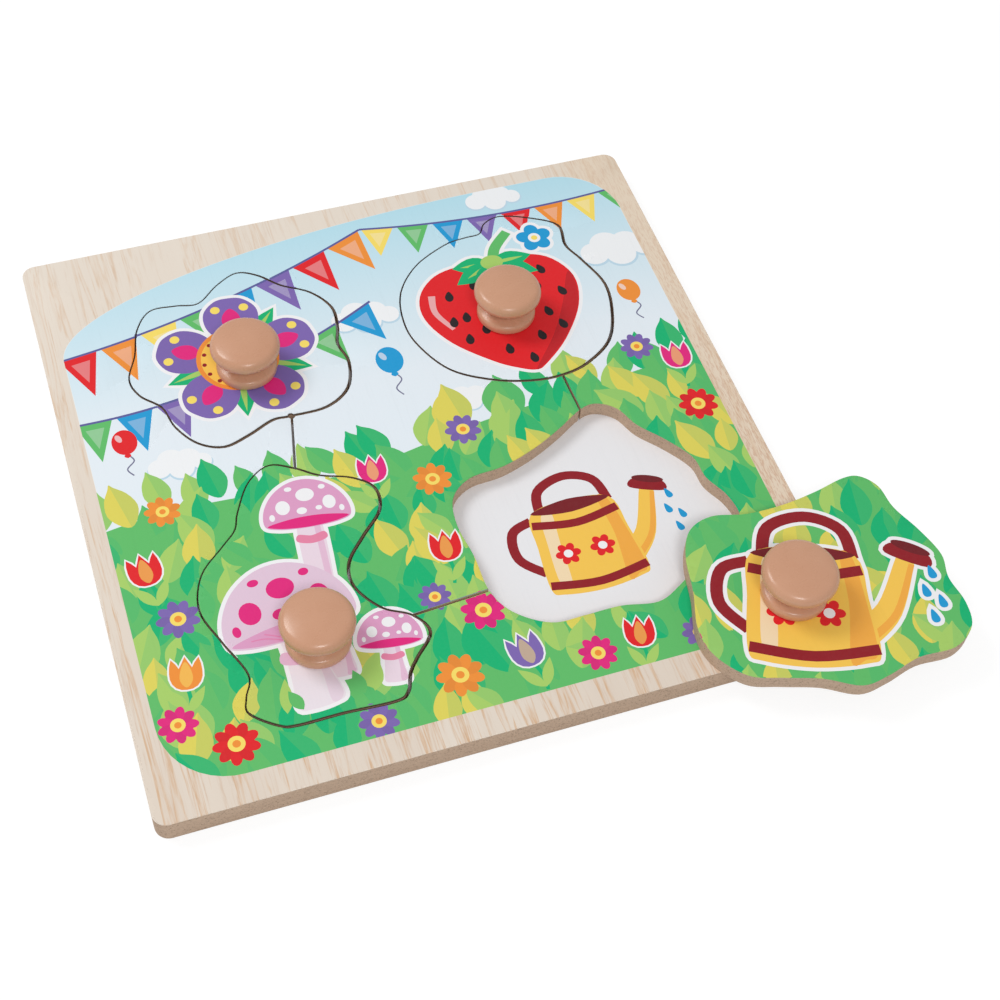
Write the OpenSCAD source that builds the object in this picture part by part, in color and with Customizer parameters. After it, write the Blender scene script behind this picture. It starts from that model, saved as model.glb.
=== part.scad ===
// Peg puzzle for small children: a sawn wooden board on a thin backing, with lift-out picture
// pieces that each carry a turned knob. Three pieces sit in their recesses and the fourth lies
// on the front right corner of the board. Origin: centre of the underside, +Y to the back.

/* [Board] */
// Width of the board, left to right
board_w = 225; // [205:1:260]
// Depth of the board, front to back
board_d = 225; // [205:1:260]
// Radius of the board's corners
corner_r = 4.5; // [2:0.5:12]
// Thickness of the printed board that the frame and the pieces are sawn from
frame_t = 6; // [4:0.5:10]
// Thickness of the backing that closes the recesses
backing_t = 3; // [2:0.5:5]

/* [Saw cuts] */
// Gap that the saw leaves all round a piece
cut_w = 0.8; // [0.7:0.05:1.2]
// How far each seated piece lies to the left and to the back within its gap
seat_slip = 0.25; // [0:0.05:0.3]
// Width of the slots that the saw leaves between two recesses
slot_w = 0.8; // [0.6:0.1:1.5]
// Diameter of the worn hole where the saw turned into the first slot
turn_d = 2.2; // [1.6:0.1:4]

/* [Flower piece] */
// Width of the cut line
flower_w = 74.5; // [60:0.5:80]
// Depth of the cut line
flower_d = 75; // [60:0.5:80]
// Centre of the recess on the board
flower_at = [-48, 52]; // [-60:0.5:60]
// Knob on the piece, from its centre
flower_knob_at = [1.5, -6.2]; // [-15:0.1:15]

/* [Strawberry piece] */
// Width of the cut line
strawberry_w = 75; // [60:0.5:80]
// Depth of the cut line
strawberry_d = 78.5; // [60:0.5:84]
// Centre of the recess on the board
strawberry_at = [48, 52]; // [-60:0.5:60]
// Knob on the piece, from its centre
strawberry_knob_at = [-1.1, -7]; // [-15:0.1:15]

/* [Toadstool piece] */
// Width of the cut line
toadstool_w = 66; // [54:0.5:72]
// Depth of the cut line
toadstool_d = 96.5; // [80:0.5:100]
// Centre of the recess on the board
toadstool_at = [-51, -45]; // [-60:0.5:60]
// Knob on the piece, from its centre
toadstool_knob_at = [-0.7, -21.3]; // [-30:0.1:15]

/* [Watering can piece] */
// Width of the cut line
can_w = 89; // [74:0.5:94]
// Depth of the cut line
can_d = 80; // [66:0.5:86]
// Centre of the recess on the board
can_at = [47, -42]; // [-60:0.5:60]
// Knob on the piece, from its centre
can_knob_at = [-11, -7.8]; // [-15:0.1:15]
// Distance of the set-aside piece's centre in from the board's right edge
aside_in_x = 6; // [2:0.5:30]
// Distance of the set-aside piece's centre in from the board's front edge
aside_in_y = 20.5; // [5:0.5:30]
// Turn of the set-aside piece, anticlockwise from above
aside_turn = -18.5; // [-40:0.5:40]

/* [Knobs] */
// Diameter of the cap
cap_d = 23.5; // [20:0.1:28]
// Diameter of the cap on the watering can piece, which was turned a little wider
can_cap_d = 24.3; // [20:0.1:28]
// Height of the cap, from its underside to the top of its crown
cap_t = 6.2; // [5.6:0.1:9]
// Radius of the cap's lower edge
cap_low_r = 2; // [1:0.1:2.3]
// Radius of the cap's upper edge
cap_top_r = 3; // [1.5:0.1:3.6]
// Diameter of the flange that stands on the piece
flange_d = 20.6; // [18:0.1:24]
// Diameter of the flange on the watering can piece
can_flange_d = 21.2; // [18:0.1:24]
// Height of the flange, from the piece to the top of its cone
flange_t = 4.8; // [4.2:0.2:6.4]
// Radius of the flange's lower edge
foot_r = 1; // [0.6:0.1:1.2]
// Height at which the flange's rim begins to round over
rim_h = 2; // [1.3:0.1:2.4]
// Radius of the flange's rim, up to the cone
rim_r = 1.6; // [0.8:0.1:2]
// Diameter of the neck between flange and cap
neck_d = 12; // [10:0.5:14]
// Height of the neck
neck_t = 4.4; // [2:0.2:5]

/* [Screws] */
// Diameter of the screw's shank
screw_d = 3; // [2.5:0.1:3.5]
// Length of the screw inside the knob
screw_bite = 9; // [6:0.5:12]
// Diameter of the countersunk head
head_d = 6; // [5:0.2:7.5]
// Room round the screw in its holes
screw_gap = 0.1; // [0.05:0.05:0.2]
// Width of the cross slots in the head
cross_w = 0.8; // [0.6:0.1:1]
// Depth of the cross slots in the head
cross_t = 1; // [0.6:0.1:1.2]

/* [Hidden] */
$fn = 64;

board_t = backing_t + frame_t;
head_t = (head_d - screw_d) / 2;
// Overlap that lets a cutting shape pass through a face
past = 1;
// Height of the straight band between the cap's rounded edges
edge_band = 0.2;
// How far a turned edge reaches past the cone or crown that it runs into, so that the two cross
meet = 0.005;
// Angle by which such an edge is carried on under the cone or crown
meet_turn = 20;
// Straight lengths that each bend of a cut line is sawn in
bend_steps = 6;

// Shapes of the cut lines, clockwise from the top and measured from the middle of each piece.
// They are drawn in millimetres and then stretched to the width and depth set above.
flower_shape = [
    [8, 38], [15, 35], [22, 28], [31, 22], [36.5, 13], [36, 3.5], [34, -4], [35.5, -13],
    [32, -24], [23, -30], [10.5, -30.5], [4, -30.5], [-5, -34.5], [-14, -37], [-22, -33],
    [-27.5, -24.5], [-30, -15], [-36, -8], [-38, 0], [-34, 10], [-31, 21], [-25, 28.5],
    [-16, 28.5], [-8, 27.5], [0, 34],
];
strawberry_shape = [
    [2, 33], [5.5, 37.5], [12, 39.5], [22, 36], [31.5, 29.5], [30.8, 19], [34, 10.5], [38, -3],
    [35.5, -17], [29.5, -29], [18.5, -36.5], [8.5, -39], [-2, -38.5], [-15, -34.5], [-28, -26],
    [-35.5, -12], [-37, 0], [-34, 13], [-25, 24], [-12, 31], [-4, 32.5],
];
toadstool_shape = [
    [1, 48.5], [9, 45], [16, 40], [26, 36], [32, 30], [31, 21], [23, 12.5], [16, 4], [15, -5],
    [21, -15], [29.5, -20.5], [33, -28], [26.5, -35.5], [23, -40], [20.5, -46], [16, -48.2],
    [0, -47.5], [-14, -47.5], [-19.5, -46], [-27, -39.5], [-26.5, -34], [-24, -26.5], [-29, -13],
    [-33, 0], [-29.5, 12.5], [-20.5, 21.5], [-15.5, 26.5], [-13, 33], [-7, 43.5],
];
can_shape = [
    [10, 38.5], [16, 39.5], [22, 35.5], [26, 27], [33, 18.5], [39, 9], [40, 0], [44, -9],
    [44.5, -18], [38, -26], [26, -30], [16, -36.5], [7, -40.5], [-5, -38.5], [-17, -38.5],
    [-28, -38], [-38, -31], [-42.5, -21.5], [-43, -8], [-44.5, 5], [-42.5, 15.5], [-35, 21.5],
    [-23, 23], [-11, 27], [0, 32.5],
];
// Corners of the cut lines where a slot arrives, counted from the first point above
flower_slot_end = 10;
toadstool_top_slot_end = 1;
toadstool_side_slot_end = 10;
can_side_slot_end = 17;
can_top_slot_end = 0;
strawberry_slot_end = 11;

flower_line = stretched(flower_shape, flower_w, flower_d);
strawberry_line = stretched(strawberry_shape, strawberry_w, strawberry_d);
toadstool_line = stretched(toadstool_shape, toadstool_w, toadstool_d);
can_line = stretched(can_shape, can_w, can_d);

// Extent of a list of points along axis k
function span(pts, k) = max([for (p = pts) p[k]]) - min([for (p = pts) p[k]]);

// The points, stretched until they span w by d
function stretched(pts, w, d) = [for (p = pts) [p.x * w / span(pts, 0), p.y * d / span(pts, 1)]];

// A smooth closed curve runs through each point, parallel to the line between its two neighbours
function along(a, b, c, d, u) =
    b + (c - a) * u / 2 + (a - 2.5 * b + 2 * c - d / 2) * u ^ 2 + (3 * b - a - 3 * c + d) * u ^ 3 / 2;
function slope(a, b, c, d, u) =
    (c - a) / 2 + (2 * a - 5 * b + 4 * c - d) * u + (3 * b - a - 3 * c + d) * 1.5 * u ^ 2;
function turned_left(v) = [-v.y, v.x] / norm(v);

// Outline beside the cut line: outside it where by is positive, inside where negative
function beside(pts, by) = [
    for (i = [0 : len(pts) - 1])
        let (n = len(pts), a = pts[(i + n - 1) % n], b = pts[i], c = pts[(i + 1) % n], d = pts[(i + 2) % n])
            for (s = [0 : bend_steps - 1])
                let (u = s / bend_steps)
                    along(a, b, c, d, u) + by * turned_left(slope(a, b, c, d, u)),
];

// Flat shape of the whole board
module board_outline() {
    square([board_w - 2 * corner_r, board_d], center = true);
    square([board_w, board_d - 2 * corner_r], center = true);
    for (x = [-1, 1], y = [-1, 1])
        translate([x * (board_w / 2 - corner_r), y * (board_d / 2 - corner_r)])
            circle(corner_r);
}

// Flat shape of one recess
module recess(line, at) {
    translate(at) polygon(beside(line, cut_w / 2));
}

// Flat shape of a slot sawn straight from one cut line to the next
module slot(from, to) {
    run = to - from;
    translate(from)
        rotate(atan2(run.y, run.x))
            translate([0, -slot_w / 2])
                square([norm(run), slot_w]);
}

// A seated piece's place, with what it carries
module seated(at) {
    translate([at.x - seat_slip, at.y + seat_slip, backing_t]) children();
}

// The place of the piece that has been taken out
module set_aside() {
    translate([board_w / 2 - aside_in_x, aside_in_y - board_d / 2, board_t])
        rotate(aside_turn)
            children();
}

// A lift-out piece on its own underside, drilled and countersunk for its knob's screw
module piece(line, knob_at) {
    difference() {
        linear_extrude(frame_t) polygon(beside(line, -cut_w / 2));
        translate(knob_at) {
            translate([0, 0, -past]) cylinder(d = screw_d + 2 * screw_gap, h = frame_t + 2 * past);
            cylinder(d1 = head_d + 2 * screw_gap, d2 = screw_d + 2 * screw_gap, h = head_t);
        }
    }
}

// Slice of a circle between two angles, for a rounded edge
module slice(r, from, to) {
    intersection() {
        circle(r);
        polygon([[0, 0], 2 * r * [cos(from), sin(from)], 2 * r * [cos(to), sin(to)]]);
    }
}

// Half section of a knob's flange: a rounded rim, and a cone that leaves the rim almost at a tangent
// and runs up to the neck
module flange(d) {
    rim = [d / 2 - rim_r, rim_h];
    neck = [neck_d / 2, flange_t];
    reach = neck - rim;
    lean = atan2(reach.y, reach.x) - acos((rim_r - meet) / norm(reach));
    start = rim + (rim_r - meet) * [cos(lean), sin(lean)];
    square([d / 2 - foot_r, rim_h]);
    translate([0, foot_r]) square([d / 2, rim_h - foot_r]);
    translate([d / 2 - foot_r, foot_r]) slice(foot_r, -90, 0);
    translate(rim) slice(rim_r, 0, lean + meet_turn);
    polygon([[0, rim_h], rim, start, neck, [0, flange_t]]);
}

// Half section of a knob's cap: its upper edge runs almost at a tangent into the shallow crown
module cap(d) {
    rim = [d / 2 - cap_top_r, cap_low_r + edge_band];
    rise = cap_t - rim.y;
    inner_r = cap_top_r - meet;
    crown_r = (rim.x ^ 2 + rise ^ 2 - inner_r ^ 2) / (2 * (rise - inner_r));
    lean = atan2(rim.y + crown_r - cap_t, rim.x);
    square([d / 2 - cap_low_r, cap_low_r]);
    translate([d / 2 - cap_low_r, cap_low_r]) slice(cap_low_r, -90, 0);
    translate([0, cap_low_r]) square([d / 2, edge_band]);
    translate(rim) slice(cap_top_r, 0, lean + meet_turn);
    intersection() {
        translate([0, cap_t - crown_r]) circle(crown_r, $fn = 180);
        polygon([[0, rim.y], rim, rim + 2 * cap_top_r * [cos(lean), sin(lean)], [0, cap_t + past]]);
    }
}

// A turned knob standing on a piece, with the blind hole for its screw
module knob(knob_at, across = cap_d, foot_across = flange_d) {
    translate([knob_at.x, knob_at.y, frame_t])
        difference() {
            rotate_extrude() {
                flange(foot_across);
                translate([0, flange_t]) square([neck_d / 2, neck_t]);
                translate([0, flange_t + neck_t]) cap(across);
            }
            translate([0, 0, -past])
                cylinder(d = screw_d + 2 * screw_gap, h = past + screw_bite + screw_gap);
        }
}

// A countersunk screw, head down, flush with the underside of its piece
module screw(knob_at) {
    translate([knob_at.x, knob_at.y, screw_gap])
        difference() {
            union() {
                cylinder(d1 = head_d, d2 = screw_d, h = head_t);
                cylinder(d = screw_d, h = frame_t + screw_bite - screw_gap);
            }
            for (turn = [0, 90])
                rotate(turn)
                    translate([-head_d / 3, -cross_w / 2, -past])
                        cube([head_d * 2 / 3, cross_w, past + cross_t]);
        }
}

module backing_board() {
    color("gainsboro") linear_extrude(backing_t) board_outline();
}

module frame_board() {
    color("burlywood")
        translate([0, 0, backing_t])
            linear_extrude(frame_t)
                difference() {
                    board_outline();
                    recess(flower_line, flower_at);
                    recess(strawberry_line, strawberry_at);
                    recess(toadstool_line, toadstool_at);
                    recess(can_line, can_at);
                    slot(
                        flower_at + flower_line[flower_slot_end],
                        toadstool_at + toadstool_line[toadstool_top_slot_end]
                    );
                    slot(
                        toadstool_at + toadstool_line[toadstool_side_slot_end],
                        can_at + can_line[can_side_slot_end]
                    );
                    slot(
                        strawberry_at + strawberry_line[strawberry_slot_end],
                        can_at + can_line[can_top_slot_end]
                    );
                    translate(flower_at + flower_line[flower_slot_end]) circle(d = turn_d);
                }
}

module flower_piece() {
    color("mediumpurple")
        seated(flower_at)
            difference() {
                piece(flower_line, flower_knob_at);
                translate(flower_line[flower_slot_end])
                    translate([0, 0, -past])
                        cylinder(d = turn_d, h = frame_t + 2 * past);
            }
}

module strawberry_piece() {
    color("tomato") seated(strawberry_at) piece(strawberry_line, strawberry_knob_at);
}

module toadstool_piece() {
    color("plum") seated(toadstool_at) piece(toadstool_line, toadstool_knob_at);
}

module can_piece() {
    color("gold") set_aside() piece(can_line, can_knob_at);
}

module flower_knob() {
    color("tan") seated(flower_at) knob(flower_knob_at);
}

module strawberry_knob() {
    color("tan") seated(strawberry_at) knob(strawberry_knob_at);
}

module toadstool_knob() {
    color("tan") seated(toadstool_at) knob(toadstool_knob_at);
}

module can_knob() {
    color("tan") set_aside() knob(can_knob_at, can_cap_d, can_flange_d);
}

module flower_screw() {
    color("silver") seated(flower_at) screw(flower_knob_at);
}

module strawberry_screw() {
    color("silver") seated(strawberry_at) screw(strawberry_knob_at);
}

module toadstool_screw() {
    color("silver") seated(toadstool_at) screw(toadstool_knob_at);
}

module can_screw() {
    color("silver") set_aside() screw(can_knob_at);
}

backing_board();
frame_board();
flower_piece();
strawberry_piece();
toadstool_piece();
can_piece();
flower_knob();
strawberry_knob();
toadstool_knob();
can_knob();
flower_screw();
strawberry_screw();
toadstool_screw();
can_screw();
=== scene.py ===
# %% [markdown]
# # A wooden peg puzzle
# The puzzle is a square printed board, sawn into a frame and four lift-out pieces, on a thin
# backing. Each piece carries a turned knob, held by a screw from below. Three pieces sit in their
# recesses, and the fourth lies on the front right corner of the board.
# The packed solids are loaded first and stay where they are: every piece below is fitted to them.

import math
import random

import bmesh
import bpy
import numpy as np
from mathutils import Matrix, Vector
from mathutils.geometry import delaunay_2d_cdt


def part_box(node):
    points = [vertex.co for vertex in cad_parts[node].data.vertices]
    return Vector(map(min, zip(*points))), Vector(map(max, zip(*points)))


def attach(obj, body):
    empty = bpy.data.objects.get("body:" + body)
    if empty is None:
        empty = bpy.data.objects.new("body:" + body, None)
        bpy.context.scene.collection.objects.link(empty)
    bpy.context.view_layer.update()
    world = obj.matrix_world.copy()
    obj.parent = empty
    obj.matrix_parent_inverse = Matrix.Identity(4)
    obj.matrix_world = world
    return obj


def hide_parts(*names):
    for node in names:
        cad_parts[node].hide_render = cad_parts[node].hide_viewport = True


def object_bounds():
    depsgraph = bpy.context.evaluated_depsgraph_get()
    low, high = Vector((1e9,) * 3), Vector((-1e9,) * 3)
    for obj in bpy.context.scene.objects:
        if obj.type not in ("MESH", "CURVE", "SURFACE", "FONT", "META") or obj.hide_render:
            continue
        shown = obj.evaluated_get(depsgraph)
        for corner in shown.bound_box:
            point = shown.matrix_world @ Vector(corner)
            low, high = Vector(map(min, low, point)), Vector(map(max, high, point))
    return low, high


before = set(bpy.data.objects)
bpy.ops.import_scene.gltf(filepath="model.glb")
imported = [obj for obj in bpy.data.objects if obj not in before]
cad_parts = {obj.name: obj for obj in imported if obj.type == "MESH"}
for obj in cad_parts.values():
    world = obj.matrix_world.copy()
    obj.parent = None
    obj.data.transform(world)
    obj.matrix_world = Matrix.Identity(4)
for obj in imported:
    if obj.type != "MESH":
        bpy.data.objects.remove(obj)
cad_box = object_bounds()
bpy.ops.object.select_all(action="DESELECT")
MM = 0.001
box_mm = [[round(x / MM, 1) for x in p] for p in cad_box]
print("solids:", len(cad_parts), "box in mm:", box_mm)

# %% [markdown]
# ## A short way to write finishes
# A finish is a tree of shader nodes. Written by hand, each sum would take three lines, so one
# small class stands for a socket: adding or multiplying two of them adds the Math node. The
# reflected forms let a plain number stand first, as in 1 - cover.

# %% Sums of values
class Value:
    """An output socket that takes part in sums."""

    def __init__(self, finish, socket):
        self.finish, self.socket = finish, socket

    def __add__(self, other):
        return self.finish.maths("ADD", self, other)

    def __sub__(self, other):
        return self.finish.maths("SUBTRACT", self, other)

    def __mul__(self, other):
        return self.finish.maths("MULTIPLY", self, other)

    def __radd__(self, other):
        return self.finish.maths("ADD", other, self)

    def __rsub__(self, other):
        return self.finish.maths("SUBTRACT", other, self)

    def __rmul__(self, other):
        return self.finish.maths("MULTIPLY", other, self)


print("values can be added, taken away and multiplied, with a plain number on either side")

# %% [markdown]
# ## A material and its nodes
# A new material starts with one main shader, and everything else is joined to its sockets. In the
# shader editor the nodes are added from a menu. Here every node comes from one method, which sets
# the node's settings first and then its sockets, and the kinds that this puzzle needs have short
# names of their own, so that a finish below reads like a recipe.

# %% Finish and its nodes
class Finish:
    """A material, or the world, with its node tree and its main shader."""

    def __init__(self, name, world=False):
        self.material = (bpy.data.worlds if world else bpy.data.materials).new(name)
        self.material.use_nodes = True
        self.tree = self.material.node_tree
        self.shader = self.tree.nodes["Background" if world else "Principled BSDF"]

    def add(self, kind, settings, sockets, output=0):
        node = self.tree.nodes.new(kind)
        for name, value in settings.items():
            if name == "stops":
                for stop, (at, shade) in zip(self.stops(node.color_ramp, len(value)), value):
                    stop.position, stop.color = at, (shade, shade, shade, 1)
            else:
                setattr(node, name, value)
        for name, value in sockets.items():
            self.join(value, node.inputs[name])
        return Value(self, node.outputs[output])

    def stops(self, ramp, count):
        while len(ramp.elements) < count:
            ramp.elements.new(1)
        return ramp.elements

    def join(self, value, socket):
        if isinstance(value, Value):
            self.tree.links.new(value.socket, socket)
        else:
            socket.default_value = value

    def maths(self, operation, a, b):
        return self.add("ShaderNodeMath", {"operation": operation}, {0: a, 1: b})

    def between(self, low, high, share):
        """A colour between two others."""
        return self.add("ShaderNodeMix", {"data_type": "RGBA"}, {0: share, 6: low, 7: high}, 2)

    def place(self, scale):
        """Object coordinates, times a scale for each axis."""
        where = self.add("ShaderNodeTexCoord", {}, {}, "Object")
        return self.add("ShaderNodeMapping", {}, {0: where, 3: scale})

    def along(self, axis, start, end):
        """A share that runs from 0 to 1 between two places on an axis, in metres."""
        where = self.add("ShaderNodeSeparateXYZ", {}, {0: self.place((1, 1, 1))}, axis)
        return self.add("ShaderNodeMapRange", {}, {0: where, 1: start, 2: end})

    def grain(self, scale, detail=2.0, rough=0.5, warp=0.0):
        """Noise from 0 to 1, drawn out along an axis by its scale in waves to the metre."""
        sockets = {0: self.place(scale), "Scale": 1.0, "Detail": detail}
        sockets.update({"Roughness": rough, "Distortion": warp})
        return self.add("ShaderNodeTexNoise", {}, sockets)

    def ramp(self, value, *stops):
        return self.add("ShaderNodeValToRGB", {"stops": stops}, {0: value})

    def bump(self, height, strength, distance):
        sockets = {"Height": height, "Strength": strength, "Distance": distance}
        return self.add("ShaderNodeBump", {}, sockets)

    def feed(self, **sockets):
        for name, value in sockets.items():
            self.join(value, self.shader.inputs[name.replace("_", " ")])
        return self.material


print("a finish has", len([name for name in vars(Finish) if name[0] != "_"]), "methods")

# %% [markdown]
# ## Colours as they look
# A printed colour is easiest to name as it looks on a screen, but shaders count light evenly. The
# colour picker could turn one into the other by hand. A small function does it for every colour,
# so the numbers below can be read as screen colours.

# %% Screen colours
def ink(red, green, blue):
    """A colour as it looks on a screen, turned into the linear light that shaders use."""
    screen = [c / 255 for c in (red, green, blue)]
    return tuple(((c + 0.055) / 1.055) ** 2.4 if c > 0.04 else c / 12.92 for c in screen) + (1.0,)


print("a mid grey lets through", round(ink(118, 118, 118)[0], 3))

# %% [markdown]
# ## Printed veneer
# The board is faced with a pale ash veneer, and the picture is printed straight onto it. The print
# is stored in the mesh, as a colour with a coverage, so its edges stay sharp at any distance. The
# material only has to lay that ink over the veneer: fine brown lines, broken into dashes, that run
# from front to back. They are strongest at the front. The right margin is warmer, with short
# reddish flecks that grow denser towards the front. A photograph of wood would do, but it has a
# fixed sharpness and noise has none. A little of the grain is still felt through the ink.

# %% Printed veneer
def printed_veneer():
    f = Finish("printed_veneer")
    front, right = f.along("Y", 0.11, -0.11), f.along("X", 0.085, 0.1)
    bands = f.grain((55, 5, 55), 2, 0.5, 0.3)
    lines = f.ramp(f.grain((240, 13, 240), 3, 0.55, 1.2), (0.51, 0), (0.57, 1), (0.64, 0.12))
    fine = f.ramp(f.grain((1000, 24, 1000), 2, 0.6, 0.3), (0.5, 0), (0.7, 1))
    dashes = f.ramp(f.grain((1500, 110, 1500), 3, 0.65), (0.42, 0), (0.6, 1))
    flecks = f.ramp(f.grain((2300, 360, 2300), 2, 0.6), (0.5, 0), (0.6, 1)) * right
    streaks = lines * (0.4 + dashes * 0.6) * (0.5 + front * 0.6) * (1 - right * 0.4)
    wood = f.between(ink(241, 231, 218), ink(227, 211, 195), bands * (0.5 + front * 0.6))
    wood = f.between(wood, ink(238, 216, 188), right * 0.6)
    wood = f.between(wood, ink(221, 185, 150), streaks)
    wood = f.between(wood, ink(208, 170, 136), fine * dashes * (0.25 + front * 0.25))
    wood = f.between(wood, ink(200, 146, 114), flecks * (0.15 + front * 0.4))
    print_layer = f.add("ShaderNodeAttribute", {"attribute_name": "ink"}, {}, "Color")
    cover = f.add("ShaderNodeAttribute", {"attribute_name": "ink"}, {}, "Alpha")
    mottle = f.grain((900, 900, 900), 3, 0.7)
    worn = f.between(print_layer, ink(255, 255, 255), mottle * 0.02)
    worn = f.between(worn, ink(70, 60, 50), fine * dashes * 0.025)
    colour = f.between(wood, worn, cover)
    rough = 0.5 - cover * 0.06 + mottle * 0.12
    felt = f.bump((streaks + fine * 0.5) * (1 - cover * 0.6), 0.12, 0.00008)
    return f.feed(Base_Color=colour, Roughness=rough, Normal=felt, Specular_IOR_Level=0.2)


VENEER = printed_veneer()
print("made", VENEER.name)

# %% [markdown]
# ## Sawn fibreboard
# Under the veneer the board is brown fibreboard, which shows on every sawn edge: fine dark fibres,
# a slightly darker core, and a thin dark band just below the veneer: painted shade for the dark
# inside the narrow saw cuts, where little light gets in. The mesh stores how deep each point lies,
# so the painted shade follows the face wherever the piece is. Edges open to the light are stored
# deeper, beyond the painted shade. The fibres are noise through the solid rather than a flat
# pattern, so they turn every corner of the cut without a seam.

# %% Sawn fibreboard
def sawn_fibreboard(name, tone, shade):
    f = Finish(name)
    depth = f.add("ShaderNodeAttribute", {"attribute_name": "depth"}, {}, "Fac")
    fibres = f.grain((1500, 1500, 2600), 4, 0.75)
    specks = f.ramp(f.grain((1700, 1700, 2000), 3, 0.7), (0.54, 0), (0.66, 1))
    layers = f.grain((60, 60, 900), 2, 0.5)
    # painted shade: a dark band just below the veneer stands for the dark inside the narrow saw cuts
    gap_shade = f.ramp(depth * 0.1, (0.015, 0), (0.03, 1), (0.08, 1), (0.11, 0))
    colour = f.between(ink(*tone), ink(*shade), layers * 0.5 + fibres * 0.5)
    colour = f.between(colour, ink(104, 78, 58), specks * 0.6)
    colour = f.between(colour, ink(58, 42, 34), gap_shade * 0.8)
    rough = 0.78 + fibres * 0.18
    return f.feed(Base_Color=colour, Roughness=rough, Normal=f.bump(fibres + specks, 0.35, 0.0001))


FIBRE_EDGE = sawn_fibreboard("sawn_fibreboard", (216, 190, 166), (182, 154, 130))
print("made", FIBRE_EDGE.name)

# %% [markdown]
# ## Lacquered beech and plated steel
# The knobs are turned beech under an opaque tan lacquer that hides the grain: even and smooth, a
# little darker in blotches, with small ripples where the lacquer ran. A coat layer over wood could
# give the gloss too, but an opaque lacquer is one smooth surface, so one shader is enough. The
# screws are plated steel, brushed by the tumbling that they are cleaned with.

# %% Knob lacquer and screw steel
def knob_lacquer():
    f = Finish("tan_lacquer")
    blotch = f.grain((90, 90, 90), 3, 0.6, 0.5)
    ripples = f.grain((380, 380, 380), 2, 0.5)
    colour = f.between(ink(216, 165, 134), ink(205, 151, 119), blotch)
    rough = 0.23 + ripples * 0.1
    return f.feed(Base_Color=colour, Roughness=rough, Normal=f.bump(ripples, 0.06, 0.0003))


def plated_steel():
    f = Finish("plated_steel")
    brush = f.grain((3500, 300, 900), 2, 0.6)
    colour = f.between(ink(205, 203, 198), ink(160, 156, 150), brush)
    return f.feed(Base_Color=colour, Roughness=0.28 + brush * 0.2, Metallic=1.0)


LACQUER, STEEL = knob_lacquer(), plated_steel()
print("made", LACQUER.name, "and", STEEL.name)

# %% [markdown]
# ## Drawing tools for the print
# The print is built from flat closed outlines, as a printer's colour separations would be. A few
# tools make them: smooth curves through given points, ovals, leaves, and ribbons for strokes.
# Lengths are in millimetres on the board, with the origin at its middle.

# %% Outlines
def span(a, b, c, d, steps):
    """Points from b to c on the smooth curve through four points."""
    found = []
    for u in np.arange(steps) / steps:
        bend = (2 * a - 5 * b + 4 * c - d) * u**2 + (3 * b - a - 3 * c + d) * u**3
        found.append(b + ((c - a) * u + bend) / 2)
    return found


def smooth(points, steps=5):
    """A closed curve through the points."""
    n = len(points)
    p = [np.array(q, float) for q in points]
    curve = []
    for i in range(n):
        curve += span(p[i - 1], p[i], p[(i + 1) % n], p[(i + 2) % n], steps)
    return [tuple(q) for q in curve]


def oval(rx, ry=None, steps=26):
    ry = rx if ry is None else ry
    turns = [2 * math.pi * i / steps for i in range(steps)]
    return [(rx * math.cos(t), ry * math.sin(t)) for t in turns]


def leaf(length, width, steps=7):
    """A pointed leaf that grows along +x from the origin."""
    swell = [width / 2 * math.sin(math.pi * (i / steps) ** 0.85) for i in range(steps)]
    side = [(length * i / steps, y) for i, y in enumerate(swell)]
    return [(x, -y) for x, y in side] + [(length, 0)] + [(x, y) for x, y in side[:0:-1]]


def ribbon(points, start, end, steps=6):
    """A stroke along an open curve, from one width to another."""
    p = [np.array(q, float) for q in [points[0], *points, points[-1]]]
    line = []
    for i in range(1, len(p) - 2):
        line += span(*p[i - 1 : i + 3], steps)
    line = np.array([*line, p[-1]])
    run = np.gradient(line, axis=0)
    left = np.stack([-run[:, 1], run[:, 0]], 1) / np.linalg.norm(run, axis=1)[:, None]
    half = np.linspace(start, end, len(line))[:, None] / 2
    return [tuple(q) for q in line - left * half] + [tuple(q) for q in (line + left * half)[::-1]]


print("a leaf has", len(leaf(10, 4)), "points and an oval", len(oval(5)))

# %% [markdown]
# ## Placing and widening an outline
# A motif is drawn once about the origin and then placed, turned and sized, as a rubber stamp would
# be. The white rims of the pictures need the same outline a little wider: every corner moves out
# along the mean of its two sides' normals.

# %% Place and widen
def placed(points, at=(0, 0), turn=0.0, size=1.0):
    c, s = math.cos(math.radians(turn)) * size, math.sin(math.radians(turn)) * size
    return [(at[0] + c * x - s * y, at[1] + s * x + c * y) for x, y in points]


def grown(points, by):
    """An outline moved outwards by a margin."""
    p = np.array(points, float)
    area = np.sum(p[:, 0] * np.roll(p[:, 1], -1) - np.roll(p[:, 0], -1) * p[:, 1])
    run = np.roll(p, -1, 0) - p
    run /= np.maximum(np.linalg.norm(run, axis=1), 1e-9)[:, None]
    out = np.stack([run[:, 1], -run[:, 0]], 1) * np.sign(area)
    both = out + np.roll(out, 1, 0)
    both /= np.maximum(1 + np.sum(out * np.roll(out, 1, 0), 1), 0.6)[:, None]
    return [tuple(q) for q in p + both * by]


print("an oval of 5, widened by 1, reaches", round(max(grown(oval(5), 1))[0], 2))

# %% [markdown]
# ## Colours of the print
# Flat, cheerful colours on a pale sky, as a few spot inks would print them. Each could be typed in
# where it is used, but a named ink keeps the whole print in one palette.

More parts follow.
